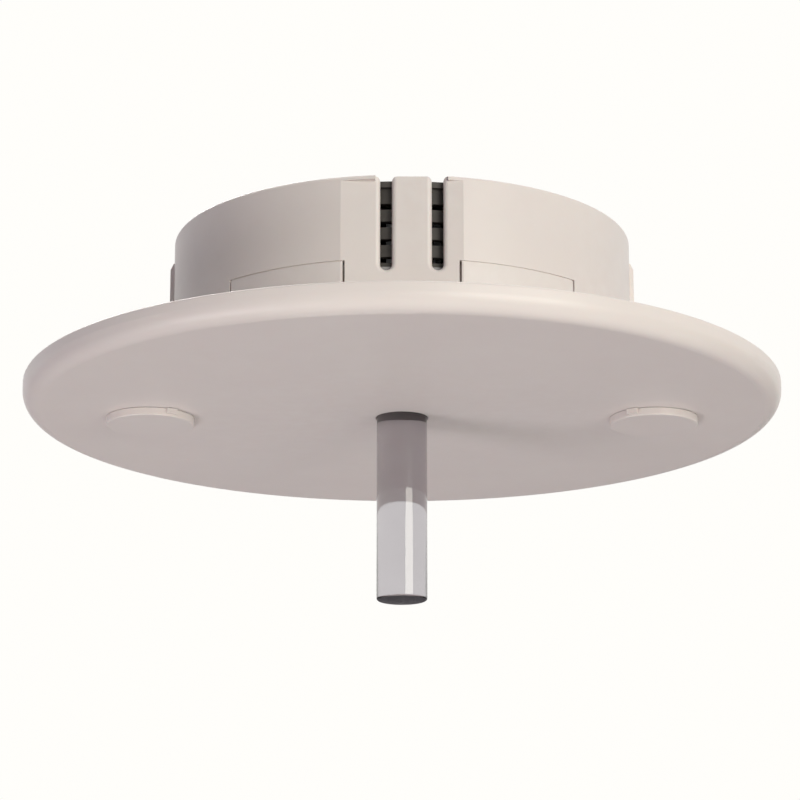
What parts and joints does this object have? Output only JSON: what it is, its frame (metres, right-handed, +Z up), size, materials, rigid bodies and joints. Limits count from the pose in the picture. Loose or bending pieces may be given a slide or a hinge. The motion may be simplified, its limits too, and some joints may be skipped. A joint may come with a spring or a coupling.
{
  "type": "ceiling void smoke detector",
  "caption": "Smoke detector on a round ceiling plate: slotted drum above, clear light-guide rod hanging below, round caps over the clamp screws.",
  "frame": {"origin": "centre of the ceiling plate, in the plane where its rim meets the ceiling", "axes": "+Z up into the ceiling void, -Y the front with the vent slots, +X to the right seen from the front"},
  "size_m": [0.18, 0.18, 0.09],
  "materials": {
    "ivory_plastic": "satin moulded",
    "cover_plastic": "satin moulded",
    "foam": "closed-cell foam",
    "dark_plastic": "matt moulded",
    "grey_plastic": "matt moulded",
    "steel": "zinc plated",
    "spring_steel": "drawn wire",
    "stainless_mesh": "etched sheet",
    "brass": "turned",
    "block_plastic": "moulded",
    "board_green": "solder resist",
    "chip_black": "moulded",
    "can_aluminium": "drawn can",
    "clear_acrylic": "polished",
    "clear_lens": "polished",
    "red_epoxy": "cast",
    "tinted_epoxy": "cast"
  },
  "bodies": {
    "plate": {"ceiling_plate": "ivory_plastic", "ceiling_seal": "foam", "base_housing": "ivory_plastic", "base_screws": "steel", "terminal_block_left": "block_plastic", "terminal_block_right": "block_plastic", "terminal_clamps": "brass", "terminal_screws": "steel", "contact_springs": "brass"},
    "head": {"head_chassis": "grey_plastic", "circuit_board": "board_green", "board_screws": "steel", "contact_blades": "brass", "controller_chip": "chip_black", "capacitor": "can_aluminium", "chip_resistors": "chip_black", "return_spring": "spring_steel", "guide_cup": "dark_plastic", "guide_screws": "steel", "indicator_led": "red_epoxy", "test_switch": "chip_black", "chamber_base": "dark_plastic", "infrared_emitter": "tinted_epoxy", "photodiode": "tinted_epoxy", "receiver_lens": "clear_lens", "chamber_labyrinth": "dark_plastic", "insect_screen": "stainless_mesh", "inlet_grille": "dark_plastic", "top_cover": "cover_plastic"},
    "guide": {"light_guide": "clear_acrylic", "guide_collar": "dark_plastic"},
    "plunger": {"switch_plunger": "grey_plastic"},
    "cap_left": {"screw_cap_left": "ivory_plastic"},
    "screw_left": {"clamp_screw_left": "steel", "clamp_retainer_left": "spring_steel"},
    "nut_left": {"clamp_nut_left": "brass"},
    "arm_left": {"clamp_arm_left": "steel"},
    "cap_right": {"screw_cap_right": "ivory_plastic"},
    "screw_right": {"clamp_screw_right": "steel", "clamp_retainer_right": "spring_steel"},
    "nut_right": {"clamp_nut_right": "brass"},
    "arm_right": {"clamp_arm_right": "steel"}
  },
  "joints": [
    {"name": "head_twist", "type": "hinge", "parent": "plate", "child": "head", "pos_m": [0, 0, 0.0142], "axis": [0, 0, 1], "range_deg": [0, 20]},
    {"name": "light_guide_push", "type": "slide", "parent": "head", "child": "guide", "axis": [0, 0, 1], "range_m": [0, 0.0012], "stiffness_N_per_m": 400, "springref_m": -0.004, "deforming": ["return_spring"]},
    {"name": "switch_press", "type": "slide", "parent": "head", "child": "plunger", "axis": [0, 0, 1], "range_m": [0, 0.0012]},
    {"name": "cap_left_pull", "type": "slide", "parent": "plate", "child": "cap_left", "axis": [0, 0, -1], "range_m": [0, 0.012]},
    {"name": "screw_left_turn", "type": "hinge", "parent": "plate", "child": "screw_left", "pos_m": [-0.06, 0, 0], "axis": [0, 0, 1], "range_deg": [0, 3240]},
    {"name": "nut_left_travel", "type": "slide", "parent": "plate", "child": "nut_left", "axis": [0, 0, -1], "range_m": [0, 0.0063]},
    {"name": "arm_left_swing", "type": "hinge", "parent": "nut_left", "child": "arm_left", "pos_m": [-0.06, 0, 0.0113], "axis": [0, 0, 1], "range_deg": [0, 90]},
    {"name": "cap_right_pull", "type": "slide", "parent": "plate", "child": "cap_right", "axis": [0, 0, -1], "range_m": [0, 0.012]},
    {"name": "screw_right_turn", "type": "hinge", "parent": "plate", "child": "screw_right", "pos_m": [0.06, 0, 0], "axis": [0, 0, 1], "range_deg": [0, 3240]},
    {"name": "nut_right_travel", "type": "slide", "parent": "plate", "child": "nut_right", "axis": [0, 0, -1], "range_m": [0, 0.0063]},
    {"name": "arm_right_swing", "type": "hinge", "parent": "nut_right", "child": "arm_right", "pos_m": [0.06, 0, 0.0113], "axis": [0, 0, 1], "range_deg": [0, 90]}
  ],
  "couplings": [
    {"joint": "switch_press", "follows": "light_guide_push", "ratio": 1},
    {"joint": "screw_left_turn", "follows": "nut_left_travel", "rad_per_m": 8975.9},
    {"joint": "screw_right_turn", "follows": "nut_right_travel", "rad_per_m": 8975.9}
  ]
}
